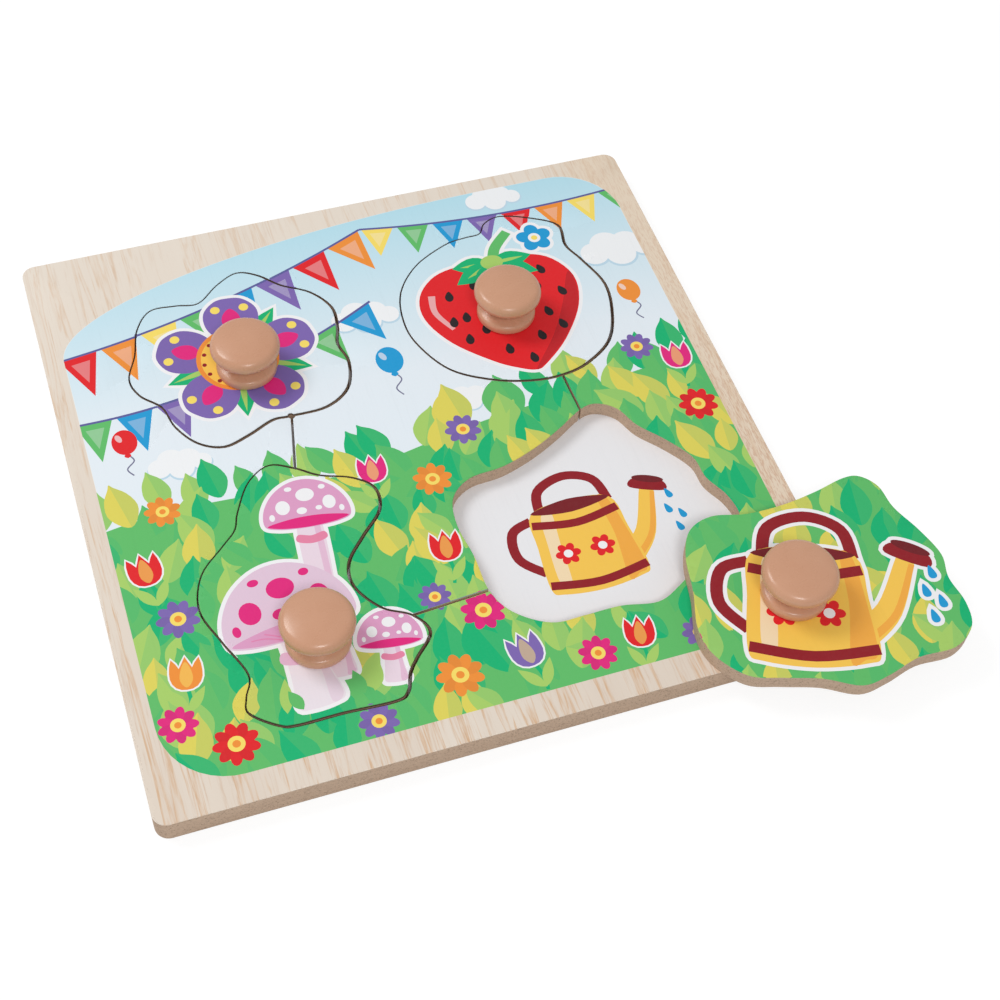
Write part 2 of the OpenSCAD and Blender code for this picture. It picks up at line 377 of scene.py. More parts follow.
# %% Ink colours
WHITE, DARK = ink(250, 250, 252), ink(36, 28, 32)
RED, OXBLOOD, ORANGE, GOLD, YELLOW = (
    ink(234, 28, 36), ink(150, 22, 34), ink(248, 150, 56), ink(255, 206, 86), ink(255, 228, 108),
)
MAGENTA, PINK, PALE_PINK, PURPLE = (
    ink(234, 36, 130), ink(229, 164, 204), ink(233, 205, 225), ink(130, 106, 182),
)
CYAN, SKY_HIGH, SKY_LOW = ink(24, 160, 220), ink(188, 230, 244), ink(237, 246, 253)
DEEP, MID, LIME = ink(4, 186, 118), ink(99, 195, 108), ink(173, 214, 108)
PALE_LIME = ink(230, 218, 94)
GREENS = [DEEP, MID, LIME, PALE_LIME]
RAINBOW = [RED, ORANGE, YELLOW, MID, CYAN, PURPLE]
SKY_FOOT, SKY_RISE = 30, 75


def toward(colour, other, share):
    return tuple(a + (b - a) * share for a, b in zip(colour, other))


def sky(x, y):
    """The sky pales from the top of the print to the hedge."""
    return toward(SKY_LOW, SKY_HIGH, min(1, max(0, (y - SKY_FOOT) / SKY_RISE)))


print("greens:", len(GREENS), "rainbow colours:", len(RAINBOW))

# %% [markdown]
# ## The garden scene
# The print panel leaves a bare wooden margin that is wide at the upper left. Inside it are a pale
# sky with bunting, clouds and balloons, a hedge of broad leaves in four greens, and tulips and
# daisies. Everything goes into one list from back to front, and later shapes cover earlier ones.

# %% Print panel and sky
PANEL = (
    [(-105.5, y) for y in (-40, 0, 40)]
    + placed(oval(165.5, 40, 160), (60, 66))[80:39:-1]
    + placed(oval(22, steps=40), (83, 84))[10::-1]
    + [(105, y) for y in (40, 0, -40)]
    + placed(oval(22, steps=40), (83, -81))[:29:-1]
    + [(30, -103), (-30, -103)]
    + placed(oval(22, steps=40), (-83.5, -81))[30:19:-1]
)
PAPER_EDGE = grown(PANEL, 0.12)
garden = [(PAPER_EDGE, ink(248, 244, 238)), (PANEL, sky)]


def lay(points, colour, at=(0, 0), turn=0.0, size=1.0):
    """Prints one more shape over what is there."""
    garden.append((placed(points, at, turn, size), colour))


def cloud(at, size):
    puffs = [(-9, 0, 5.5), (-3, 3.4, 6.5), (5, 2.4, 6), (11, -0.6, 4.6), (1, -2.2, 6)]
    for x, y, r in puffs:
        shadow = (at[0] + x * size, at[1] + (y - 1.1) * size)
        lay(oval(r + 0.5, r), ink(196, 224, 240), shadow, 0, size)
    for x, y, r in puffs:
        lay(oval(r), ink(249, 251, 253), (at[0] + x * size, at[1] + y * size), 0, size)


CLOUDS = [(-2, 57, 0.8), (96, 64, 0.95), (-78, 12, 0.7), (60, 101, 0.7), (22, 12, 0.6)]
for x, y, size in CLOUDS:
    cloud((x, y), size)
print("panel corners:", len(PANEL), "shapes so far:", len(garden))

# %% [markdown]
# ## Bunting and balloons
# Strings of pennants hang across the sky, and three balloons float under them. Each pennant could
# be drawn by hand, but a row is more even when one function shares out the string: it walks along
# a sagging line and hangs a triangle at right angles to it.

# %% Bunting and balloons
def bunting(start, end, sag, flags, first, drop, gap=()):
    """A string between two points, with a row of pennants that hang from it, save in a gap."""
    a, b = np.array(start, float), np.array(end, float)

    def on(u):
        return a + (b - a) * u - np.array([0, sag * 4 * u * (1 - u)])

    for i in sorted(set(range(flags)) - set(gap)):
        left, right = on((i + 0.05) / flags), on((i + 0.95) / flags)
        run = right - left
        down = np.array([run[1], -run[0]]) / np.linalg.norm(run)
        tip = (left + right) / 2 + down * drop
        colour = RAINBOW[(first + i) % len(RAINBOW)]
        lay([left, tip, right], colour)
        middle = (left + right + tip) / 3
        inner = [middle + (q - middle) * 0.5 for q in (left, tip, right)]
        lay(inner, toward(colour, WHITE, 0.22))
    lay(ribbon([on(u / 8) for u in range(9)], 0.9, 0.9), ink(96, 96, 160))


bunting((-108, 37), (2, 64), 8, 8, 3, 17, (3, 4, 5))
bunting((-108, 66), (8, 99), 5, 8, 0, 19)
bunting((8, 99), (112, 95), 4, 8, 2, 14)


def balloon(at, colour, size):
    x, y = at
    bends = [(0, 7), (1.6, 11), (-1.2, 15), (0.4, 19)]
    string = [(x + aside, y - down * size) for aside, down in bends]
    lay(ribbon(string, 0.5, 0.5), ink(120, 120, 150))
    lay(leaf(3, 3), colour, (x, y - 9 * size), 90, size)
    lay(oval(5.6, 7), colour, at, 0, size)
    lay(oval(1.3, 2.3), toward(colour, WHITE, 0.55), (x - 2.2 * size, y + 2.6 * size), 20, size)


for at, colour, size in [((-93, 26), RED, 0.75), ((1, 36), CYAN, 0.85), ((93, 44), ORANGE, 0.75)]:
    balloon(at, colour, size)
print("shapes so far:", len(garden))

# %% [markdown]
# ## The hedge
# The lower half of the print is a hedge of broad leaves in four greens, each with one half in
# shade. Laid like roof tiles, row before row, the leaves leave no bare patches. A seeded random
# draw turns and sizes each leaf, so the hedge looks grown and still comes out the same every run,
# and two slow waves gather the greens into patches.

# %% Hedge
def hedge_top(x):
    """The hedge is higher at the right."""
    return 3 + 0.06 * x + 2.5 * math.sin(x / 19) + 10 / (1 + math.exp(-(x - 62) / 14))


def broad_leaf(at, colour, size, turn):
    """A broad leaf with a short tip, one half of it in shade."""
    edge = [(0, 0), (2.2, 2.8), (6.5, 4.6), (11.5, 3.4), (15, 0.9), (16.5, 0)]
    lit = smooth(edge + [(x, -y) for x, y in edge[-2:0:-1]], 3)
    shade = [(x, min(y, 0.0)) for x, y in lit]
    lay(lit, colour, at, turn, size)
    dim = toward(colour, DEEP, 0.22) if colour != DEEP else toward(DEEP, MID, 0.3)
    lay(shade, dim, at, turn, size)


ROWS, COLUMNS, ROW_STEP, LEAF_STEP = 12, 25, 9.2, 9.6
PATCH_LEVELS = (-0.75, 0.2, 1.3)
draw = random.Random(7)
lay([(x, hedge_top(x) - 6) for x in range(-114, 115, 6)] + [(114, -116), (-114, -116)], MID)
for row in range(ROWS):
    for column in range(COLUMNS):
        x = -115 + LEAF_STEP * column + LEAF_STEP / 2 * (row % 2) + draw.uniform(-2, 2)
        y = hedge_top(x) - 6 - ROW_STEP * row + draw.uniform(-2, 2)
        patch = math.sin(x / 21 + 1.9 * row) + math.sin(x / 9 - 0.8 * row) + draw.uniform(-1, 1)
        colour = GREENS[sum(patch > level for level in PATCH_LEVELS)]
        broad_leaf((x, y), colour, draw.uniform(0.85, 1.2), 90 + draw.gauss(0, 24))
print("shapes so far:", len(garden))

# %% [markdown]
# ## Tulips and daisies
# Small flowers are scattered over the hedge. A tulip is half an outline and its mirror image, and a
# daisy is one petal turned about its middle, so both need only a few numbers. Their places are
# listed one by one, because a saw cut through a flower would leave a sliver on the next piece.

# %% Tulips and daisies
def tulip(at, colour, size, turn=0):
    half = [(0, -5.2), (1.7, -5), (3.2, -4.2), (4.3, -2.8), (4.9, -1), (5, 1), (4.8, 3.4)]
    half += [(4.2, 5.8), (2.9, 4.1), (2, 2.4), (1.2, 3.9)]
    flame = smooth([(0, -4.4), (1.9, -2), (1.6, 1.6), (0, 4.6), (-1.6, 1.6), (-1.9, -2)], 3)
    cup = half + [(0, 6.4)] + [(-x, y) for x, y in half[:0:-1]]
    stem = placed(ribbon([(0, -4), (0.8, -9), (0, -14)], 1.3, 1.1), at, turn, size)
    lay(stem, DEEP)
    for side in (-1, 1):
        lay(leaf(10, 3.4), LIME, placed([(0, -13)], at, turn, size)[0], 90 + turn - side * 32, size)
    lay(grown(cup, 0.55), WHITE, at, turn, size)
    lay(cup, colour, at, turn, size)
    lay(flame, toward(colour, YELLOW, 0.45), at, turn, size)


def daisy(at, colour, size, turn=0, petals=9):
    for i in range(petals):
        way = turn + 360 * i / petals
        middle = placed([(3.7, 0)], at, way, size)[0]
        lay(oval(2.6, 1.6, 14), toward(colour, DARK, 0.1 * (i % 2)), middle, way, size)
    lay(oval(2.3, steps=18), YELLOW, at, 0, size)
    lay(oval(1.1, steps=12), ORANGE, at, 0, size)


for x, y, colour, size, turn in [
    (-97, -26, RED, 1.05, 6), (-93, -66, ORANGE, 1.0, -8), (-4, -44, RED, 1.0, -6),
    (8, -88, PURPLE, 1.05, 8), (98, 10, MAGENTA, 1.0, -5), (44, -92, RED, 0.95, -10),
    (-18, -8, MAGENTA, 0.95, -4), (78, -88, ORANGE, 0.95, 4),
]:
    tulip((x, y), colour, size, turn)
for x, y, colour, size in [
    (-91, -46, PURPLE, 1.1), (-99, -82, MAGENTA, 1.0), (-84, -93, RED, 1.15),
    (-42, -98, PURPLE, 1.0), (-14, -90, ORANGE, 1.2), (0, -70, MAGENTA, 1.15),
    (29, -95, MAGENTA, 1.0), (0, -17, ORANGE, 1.05), (16, 0, PURPLE, 1.0), (97, -12, RED, 1.1),
    (86, 18, PURPLE, 0.95), (-87, -5, ORANGE, 0.95), (-13, -61, PURPLE, 0.85),
    (62, -97, PURPLE, 0.9),
]:
    daisy((x, y), colour, size, 11 * size * x)
print("shapes in the garden:", len(garden))

# %% [markdown]
# ## The four pictures
# Each lift-out piece carries one simple picture: a flower, a strawberry, a toadstool and a watering
# can. A picture is a list of shapes about the middle of its piece, and says which of them make up
# its outline. On the pieces a white rim runs round that outline. The same pictures are printed
# again, smaller and without the rim, on the white floors of the recesses, as a guide for the child.
# The flower is one petal turned five times, and the strawberry is drawn from listed points.

# %% Flower and strawberry
def flower_picture():
    shapes, middle = [], (-0.5, -1.0)
    side = [(9, -5), (15, -9), (22, -9.2), (27, -5)]
    petal = smooth([(6, 0), *side, (28, 0), *[(x, -y) for x, y in side[::-1]]])
    flame = smooth([(13, 0), (16, -3), (20, -2.8), (23, 0), (20, 2.8), (16, 3)])
    for turn in (192, 264, 336, 48):
        shapes.append((placed(leaf(26, 10), middle, turn), DEEP, True))
        shapes.append((placed(leaf(24, 2.6), middle, turn), LIME, False))
    for i in range(5):
        turn = 84 + 72 * i
        shapes.append((placed(petal, middle, turn), toward(PURPLE, DARK, 0.04 * (i % 2)), True))
    for i in range(5):
        turn = 84 + 72 * i
        shapes.append((placed(flame, middle, turn), MAGENTA, False))
        for across in (-1, 1):
            dot = placed([(23, 5 * across)], middle, turn)[0]
            shapes.append((placed(oval(1.7, steps=16), dot), YELLOW, False))
    shapes.append((placed(oval(14.2, steps=40), middle), ORANGE, False))
    shapes.append((placed(oval(12.6, steps=36), middle), GOLD, False))
    for i in range(16):
        dot = placed([(11.6, 0)], middle, 22.5 * i)[0]
        shapes.append((placed(oval(0.8, steps=10), dot), OXBLOOD, False))
    return shapes


def strawberry_picture():
    berry = [(-1, 15), (10, 19), (22, 15.5), (28.5, 4), (25.5, -10), (15.5, -24), (5, -33)]
    berry += [(1, -34.5), (-4, -32.5), (-12, -27), (-23.5, -15), (-29.5, -2), (-28, 9)]
    berry += [(-20, 17), (-9, 19)]
    shade = [(26.8, 6), (28.2, 2), (25.2, -10), (15.5, -23.4), (5, -32.4), (1.4, -33.8)]
    shade += [(12, -21), (20, -8)]
    glint = [(-24, 8), (-25, 0), (-21, -9)]
    seeds = [(-18, 6), (-15, -5), (-17, -15), (-8, 9), (-5, -23), (2, -29), (14, 3), (18, 10)]
    seeds += [(22, -2), (14, -10), (17, -17), (8, -20), (-10, -12), (0, -14), (-20, -6)]
    seed = smooth([(0, 2.6), (1.5, 0.2), (1.1, -1.7), (0, -2.3), (-1.1, -1.7), (-1.5, 0.2)], 3)
    shapes = [(ribbon([(2, 16), (5, 24), (12, 31)], 4.4, 3.6), MID, True)]
    shapes.append((smooth(berry), RED, True))
    shapes.append((smooth(shade), toward(RED, OXBLOOD, 0.45), False))
    shapes.append((ribbon(glint, 2.6, 1.6), toward(RED, WHITE, 0.45), False))
    for x, y in seeds:
        shapes.append((placed(seed, (x, y), 6 * x / 10), DARK, False))
    for turn in (176, 204, 236, 268, 300, 332, 2):
        length = 17 if turn in (204, 332) else 15
        shapes.append((placed(leaf(length, 8), (2, 17.5), turn), DEEP, True))
        shapes.append((placed(leaf(12, 1.6), (2, 17.5), turn), LIME, False))
    shapes.append((placed(oval(4.2, 3.4, 20), (2, 18)), LIME, False))
    blossom = (21, 25.5)
    for i in range(5):
        petal = placed([(3.6, 0)], blossom, 90 + 72 * i)[0]
        shapes.append((placed(oval(3.1, 2.7, 18), petal, 90 + 72 * i), CYAN, True))
    shapes.append((placed(oval(2.3, steps=18), blossom), WHITE, False))
    shapes.append((placed(oval(1.2, steps=12), blossom), YELLOW, False))
    return shapes


print("flower shapes:", len(flower_picture()), "strawberry shapes:", len(strawberry_picture()))

# %% [markdown]
# ## Toadstools
# The third piece is tall at the left and low at the right, so its picture is a group of three
# toadstools of different heights. One function draws a toadstool on its foot, and the group only
# says where each one stands, how large it is and how far its stalk is drawn out.

# %% Toadstools
def toadstool(shapes, at, size, turn, cap, band, spots, tall=0.0):
    """One toadstool whose foot stands at a point. Tall is how much its stalk is drawn out."""
    foot = [(-9, 0), (-7.5, 12), (-6.4, 26), (-7, 36 + tall), (7, 36 + tall), (6.4, 26)]
    foot += [(7.5, 12), (9, 0), (4.5, -2.4), (-4.5, -2.4)]
    shade = [(3.5, -1.6), (8.4, 0.4), (7, 12), (6, 28 + tall), (2.6, 28 + tall), (4, 12)]
    dome = [(-25, 33), (-24, 44), (-17, 55), (-6, 61.5), (6, 61.5), (17, 55), (24, 44), (25, 33)]
    dome += [(19, 29.5), (8, 28), (-8, 28), (-19, 29.5)]
    gills = [(-23.5, 32.4), (-12, 35), (0, 35.8), (12, 35), (23.5, 32.4), (17, 29.8)]
    gills += [(8, 28.6), (0, 28.2), (-8, 28.6), (-17, 29.8)]
    ring = [(-8.6, 19), (0, 16.6), (8.6, 19), (7.4, 23.6), (0, 22), (-7.4, 23.6)]
    spot_sizes = [(-13, 44, 4.2, 5), (1, 51, 5.4, 4.6), (14, 43.5, 3.8, 4.8), (-2.5, 40, 3, 2.4)]
    spot_sizes += [(-20, 38, 1.6, 2.4), (7.5, 40.5, 1.9, 1.6), (-8, 56.5, 2.2, 1.6)]
    spot_sizes += [(11.5, 55, 2, 1.7), (20.5, 38, 1.5, 2.2)]
    parts = [(smooth(foot), toward(cap, WHITE, 0.62), True)]
    parts.append((smooth(shade), toward(cap, WHITE, 0.3), False))
    over = [(smooth(ring), toward(band, WHITE, 0.25), False), (smooth(dome), cap, True)]
    over.append((smooth(gills), band, False))
    for i in range(-3, 4):
        fold = [(i * 1.6, 28.8), (i * 3.6, 31.6), (i * 5.4, 34.6 - 0.25 * i * i)]
        line = ribbon(fold, 0.5, 0.5, 4)
        over.append((line, toward(band, MAGENTA, 0.35), False))
    for x, y, rx, ry in spot_sizes:
        over.append((placed(oval(rx, ry, 20), (x, y)), spots, False))
    parts += [(placed(outline, (0, tall)), colour, edge) for outline, colour, edge in over]
    shapes += [(placed(outline, at, turn, size), colour, edge) for outline, colour, edge in parts]


def toadstool_picture():
    shapes = []
    toadstool(shapes, (3, -34), 0.56, -5, PINK, MAGENTA, WHITE, 70)
    toadstool(shapes, (18.5, -41), 0.4, -8, PINK, MAGENTA, WHITE)
    toadstool(shapes, (-5, -41.5), 0.83, 4, PALE_PINK, PINK, MAGENTA)
    for x, turn, length in ((-20, 108, 9), (-16, 80, 12), (8, 100, 9), (11, 66, 10), (-11, 112, 8)):
        shapes.append((placed(leaf(length, 4), (x, -43), turn), LIME if length > 9 else MID, False))
    return shapes


print("toadstool shapes:", len(toadstool_picture()))

# %% [markdown]
# ## Watering can
# The fourth picture is a yellow can with two dark red handles, a spout and four drops. Handles and
# spout are strokes that change their width, the rest is smooth outlines, and a pale and a darker
# band make the flat body look round.

# %% Watering can
def can_picture():
    body = [(-26, 9), (-28.5, -8), (-30, -29), (-25, -33), (-8, -35), (9, -33), (14, -29)]
    body += [(12.5, -8), (10, 9), (-8, 12.5)]
    light = [(-22, 7), (-24, -8), (-25.2, -27), (-20.5, -29.5), (-18.5, -8), (-17, 8)]
    shade = [(9, 8), (11.4, -8), (12.9, -28.6), (8.6, -31.6), (3.6, -32.6), (5.6, -10), (4.6, 10)]
    mouth = [(-26, 9.4), (-8, 6), (10, 9.4), (-8, 13)]
    rose = [(-7.6, -2.6), (7.6, -2.6), (6, 2.6), (-6, 2.6)]
    arch = [(-22, 8), (-19, 20), (-6, 25), (6, 20), (9, 8)]
    dim = toward(GOLD, ORANGE, 0.55)
    shapes = [(ribbon([(-27, 6), (-36.5, 2), (-38, -11), (-29, -21)], 4.4, 4.2), OXBLOOD, True)]
    shapes.append((ribbon(arch, 4.4, 4.4), OXBLOOD, True))
    shapes.append((ribbon([(9, -22), (19, -12), (27, 8)], 11, 6.4), GOLD, True))
    shapes.append((ribbon([(12, -23), (21.5, -13), (29, 6.4)], 3, 2), dim, False))
    shapes.append((smooth(body), GOLD, True))
    shapes.append((smooth(shade), dim, False))
    shapes.append((smooth(light), toward(GOLD, WHITE, 0.45), False))
    shapes.append((smooth(mouth), toward(OXBLOOD, DARK, 0.35), False))
    for y, wide in ((3.4, 0.35), (-27.5, 2.6)):
        left, right = -26.9 - wide, 11.2 + wide
        shapes.append((ribbon([(left, y), (-8, y - 3.2), (right, y)], 4, 4), OXBLOOD, False))
    for x in (-17, -1.5):
        for i in range(6):
            petal = placed([(3.4, 0)], (x, -14), 60 * i)[0]
            shapes.append((placed(oval(2.2, 1.8, 14), petal, 60 * i), RED, False))
        shapes.append((placed(oval(2, steps=14), (x, -14)), WHITE, False))
    shapes.append((placed(smooth(rose), (28.4, 10.6), -22), OXBLOOD, True))
    shapes.append((placed(oval(7, 1.9), (29.5, 13.2), -22), toward(OXBLOOD, DARK, 0.45), True))
    for x, y in ((35.5, 3), (32.5, -4.5), (37.5, -8.5), (34, -14.5)):
        drop = smooth([(0, 3.4), (1.5, -0.2), (0.9, -1.9), (-0.9, -1.9), (-1.5, -0.2)], 3)
        shapes.append((placed(drop, (x, y), 14), CYAN, True))
    return shapes


print("can shapes:", len(can_picture()))

# %% [markdown]
# ## Where the pictures go
# The saw cuts follow the pictures, so each one is printed at its recess. The picture's rim is drawn
# first, as the same shapes a little larger in white. A rim could be an outline of its own, but the
# widened shapes follow every later change of the picture.

# %% Lay out the board and the recess floors
HOMES = {"flower": (-48, 52), "strawberry": (48, 52), "toadstool": (-51, -45), "can": (47, -42)}
PICTURES = {
    "flower": flower_picture(),
    "strawberry": strawberry_picture(),
    "toadstool": toadstool_picture(),
    "can": can_picture(),
}
CAN_SHIFT, CAN_SIZE = (1, -1.5), 0.94
for i, (points, colour, edge) in enumerate(PICTURES["can"]):
    PICTURES["can"][i] = (placed(points, CAN_SHIFT, 0, CAN_SIZE), colour, edge)
RIM, FLOOR_SIZE = 1.3, 0.82
floor_print = []
for name, home in HOMES.items():
    for points, colour, edge in PICTURES[name]:
        if edge:
            lay(grown(points, RIM), WHITE, home)
    for points, colour, edge in PICTURES[name]:
        lay(points, colour, home)
        floor_print.append((placed(points, home, 0, FLOOR_SIZE), colour))
print("shapes on the board:", len(garden), "on the floors:", len(floor_print))

# %% [markdown]
# ## Boards with a print in their face
# A sawn board could be a block with an image on it, but an image would blur at the saw cuts. Here
# the outline is taken from the solid itself: a copy loses its two flat faces, the open rims are
# rounded a little, as sanding leaves them, and each face is filled again as a mosaic whose edges
# follow every printed shape. Blender's constrained triangulation makes the mosaic, and the last
# shape over each tile gives it its ink.

# %% Which shape covers a tile
def within(points, outline):
    """Which of the points an outline goes round, by counting its turns about each."""
    p, o = np.asarray(points), np.asarray(outline)
    held = np.zeros(len(p), bool)
    low, high = o.min(0), o.max(0)
    near = np.where(np.all((p >= low) & (p <= high), axis=1))[0]
    if len(near) == 0:
        return held
    q = p[near]
    a, b = o, np.roll(o, -1, 0)
    side = (b[:, 0] - a[:, 0]) * (q[:, 1:2] - a[:, 1]) - (q[:, 0:1] - a[:, 0]) * (b[:, 1] - a[:, 1])
    up = (a[:, 1] <= q[:, 1:2]) & (b[:, 1] > q[:, 1:2]) & (side > 0)
    down = (a[:, 1] > q[:, 1:2]) & (b[:, 1] <= q[:, 1:2]) & (side < 0)
    held[near] = (up.sum(1) - down.sum(1)) != 0
    return held


def inked(faces, shapes, home, panel):
    """Each face with the ink of the last shape over its middle. Outside the panel there is none."""
    middles = np.array([(home @ (face.calc_center_median() / MM))[:2] for face in faces])
    found = np.full(len(faces), -1)
    for i, (outline, colour) in enumerate(shapes):
        found[within(middles, outline)] = i
    if panel is not None:
        found[~within(middles, panel)] = -1
    return [(face, None if i < 0 else shapes[i][1]) for face, i in zip(faces, found)]


print("the panel goes round its middle:", within([(0, 0)], PANEL)[0])

# %% [markdown]
# ## Sanded rims
# A sawn edge is rubbed smooth before the board is lacquered. A Bevel modifier would round the edge
# too, but it would also meet every tile of the print. So the open rims are found first, while the
# faces are still missing, and a narrow rounded strip is added along each of them.

# %% Rims
def open_rims(bm):
    """The open edges as closed rows of vertices, in the order of a face that would fill them."""
    after = {}
    for edge in bm.edges:
        if edge.is_boundary:
            corner = edge.link_loops[0]
            after[corner.link_loop_next.vert] = corner.vert
    rims = []
    while after:
        start, vert = after.popitem()
        rim = [start]
        while vert is not start:
            rim.append(vert)
            vert = after.pop(vert)
        rims.append(rim)
    return rims


def inset(rim, by, up):
    """The rim's places, moved by a distance into the wood."""
    p = np.array([v.co[:2] for v in rim])
    run = np.roll(p, -1, 0) - p
    run /= np.linalg.norm(run, axis=1)[:, None]
    left = np.stack([-run[:, 1], run[:, 0]], 1) * (1 if up else -1)
    both = left + np.roll(left, 1, 0)
    both /= np.maximum(1 + np.sum(left * np.roll(left, 1, 0), 1), 0.4)[:, None]
    return p + both * by


def rounded(bm, rim, by, up, steps=2):
    """Rounds an open rim inwards. Returns the last two rows of vertices, which the tiles will
    join, and the faces of the strip before them."""
    lift = 1 if up else -1
    top = rim[0].co.z
    rows = [rim]
    for k in range(1, steps + 1):
        angle = math.pi / 2 * k / steps
        flat = inset(rim, by * (1 - math.cos(angle)), up)
        rise = top - lift * by * (1 - math.sin(angle))
        rows.append([bm.verts.new((x, y, rise)) for x, y in flat])
    for vert in rim:
        vert.co.z = top - lift * by
    strip = []
    for k in range(1, steps):
        for i in range(len(rim)):
            j = (i + 1) % len(rim)
            strip.append(bm.faces.new([rows[k - 1][i], rows[k - 1][j], rows[k][j], rows[k][i]]))
    return rows[-2], rows[-1], strip


print("rim tools ready")

# %% [markdown]
# ## The mosaic
# Each face is filled with tiles whose edges follow every printed outline. Blender's constrained
# triangulation is given the rims and the outlines together, in millimetres where the print was laid
# out, and tells which of its points lie on the rims. Tiles inside an odd number of rims are wood,
# the others are holes.

# %% Cut a face into tiles
SAME_POINT = 0.0005


def cut_tiles(rims, shapes, home):
    """Cuts a face along its rims and shapes. Returns the rims' corners, all edges, the cut."""
    points, edges = [], []
    for _, rim in rims:
        first = len(points)
        for i, vert in enumerate(rim):
            points.append(home @ Vector((vert.co.x / MM, vert.co.y / MM, 0)))
            edges.append((first + i, first + (i + 1) % len(rim)))
    corners = np.array([p[:2] for p in points])
    low, high = corners.min(0) - 1, corners.max(0) + 1
    for outline, colour in shapes:
        o = np.asarray(outline)
        if np.all(o.max(0) > low) and np.all(o.min(0) < high):
            first = len(points)
            points += [Vector((x, y, 0)) for x, y in outline]
            edges += [(first + i, first + (i + 1) % len(outline)) for i in range(len(outline))]
    flat_points = [Vector((p[0], p[1])) for p in points]
    return corners, edges, delaunay_2d_cdt(flat_points, edges, [], 0, SAME_POINT)


def wooden(tiles, flat, rims, corners):
    """The tiles that lie inside an odd number of rims."""
    middles = np.array([flat[t].mean(0) for t in tiles])
    turns = np.zeros(len(tiles), int)
    start = 0
    for _, rim in rims:
        turns += within(middles, corners[start : start + len(rim)]).astype(int)
        start += len(rim)
    return [tiles[t] for t in np.where(turns % 2 == 1)[0]]


print("points closer than", SAME_POINT, "mm become one")

# %% [markdown]
# ## Tiles become faces
# The tiles that meet a rim must use the rim's own vertices, or the board would come apart there. So
# each point of the cut is looked up first, and a vertex is only made where there is none. A last
# strip of faces joins the tiles to the rounded edge.

# %% Mosaic
def mosaic(bm, rims, z, up, shapes, home):
    """Fills the rims at a height with tiles along the shapes, and returns the new faces."""
    corners, edges, cut = cut_tiles(rims, shapes, home)
    flat, lines, tiles, from_points, from_lines, _ = cut
    flat = np.array([tuple(p) for p in flat])
    rim_verts = [vert for _, rim in rims for vert in rim]
    owner = [(outer[i], outer[(i + 1) % len(rim)]) for outer, rim in rims for i in range(len(rim))]
    back = home.inverted()
    made = {}
    for i, source in enumerate(from_points):
        held = [s for s in source if s < len(rim_verts)]
        if held:
            made[i] = rim_verts[held[0]]

    def vert(i):
        if i not in made:
            p = back @ Vector((flat[i][0], flat[i][1], 0))
            made[i] = bm.verts.new((p.x * MM, p.y * MM, z))
        return made[i]

    faces = []
    for tile in wooden(tiles, flat, rims, corners):
        ring = [vert(i) for i in tile]
        a, b, c = [flat[i] for i in tile[:3]]
        anticlockwise = (b[0] - a[0]) * (c[1] - a[1]) - (b[1] - a[1]) * (c[0] - a[0]) > 0
        if anticlockwise != up:
            ring.reverse()
        faces.append(bm.faces.new(ring))
    along = {}
    for line, source in zip(lines, from_lines):
        for s in source:
            if s < len(owner):
                along.setdefault(s, set()).update(line)
    for s, found in along.items():
        a = corners[edges[s][0]]
        row = sorted(found, key=lambda i: np.sum((flat[i] - a) ** 2))
        faces.append(bm.faces.new([owner[s][0], owner[s][1], *[vert(i) for i in reversed(row)]]))
    return faces


print("mosaic tools ready")

# %% [markdown]
# ## From a solid to its walls and its ink
# The walls of a board are the sawn edges, and they are already right in the packed solid. A copy of
# its mesh keeps them and loses the flat faces. The ink goes into the corners of the tiles, so that
# a tone such as the sky can change from corner to corner. Its fourth value says that ink is there.

# %% Walls and ink
WELD, ON_FACE, FLAT = 1e-6, 1e-5, 0.99
BARE = (0, 0, 0, 0)


def walls_of(data, low, high):
    """The mesh of a solid without its top and bottom faces, as an open bmesh."""
    bm = bmesh.new()
    bm.from_mesh(data)
    bmesh.ops.remove_doubles(bm, verts=bm.verts, dist=WELD)
    for layer in list(bm.loops.layers.uv.values()):
        bm.loops.layers.uv.remove(layer)
    flat = []
    for face in bm.faces:
        z = face.calc_center_median().z
        if abs(face.normal.z) > FLAT and min(z - low.z, high.z - z) < ON_FACE:
            flat.append(face)
    bmesh.ops.delete(bm, geom=flat, context="FACES")
    return bm


def lay_ink(bm, printed, shapes, home, panel):
    """Gives the printed faces the veneer with its ink, and all others the sawn edge."""
    coat = bm.loops.layers.float_color["ink"]
    for face in bm.faces:
        face.material_index = 1
        for corner in face.loops:
            corner[coat] = BARE
    for face, colour in inked(printed, shapes, home, panel):
        face.material_index = 0
        for corner in face.loops:
            p = home @ Vector((corner.vert.co.x / MM, corner.vert.co.y / MM, 0))
            shade = colour(p.x, p.y) if callable(colour) else colour
            corner[coat] = BARE if shade is None else shade


print("wall and ink tools ready")

# %% [markdown]
# ## A board from its solid
# The steps come together here: walls, rounded rims, tiles on both faces, ink on the upper one.
# Every point also keeps its depth below the veneer, for the painted shade of the narrow cuts. Round
# the board and at the open recess no narrow gap shades the edge, so their depth is stored beyond the
# painted shade.

# %% Make a board from its solid
SANDED, GLUED = 0.2 * MM, 0.03 * MM
# The second number is the depth added to edges open to the light, which puts them past the painted
# gap shade.
OUTER, PAST_SHADE = 108, 2


def open_to_light(p):
    """Whether the edge is left without painted gap shade: round the board and at the can's recess.
    """
    nearest = min(HOMES, key=lambda name: math.dist(HOMES[name], p[:2]))
    return max(abs(p.x), abs(p.y)) > OUTER or nearest == "can"


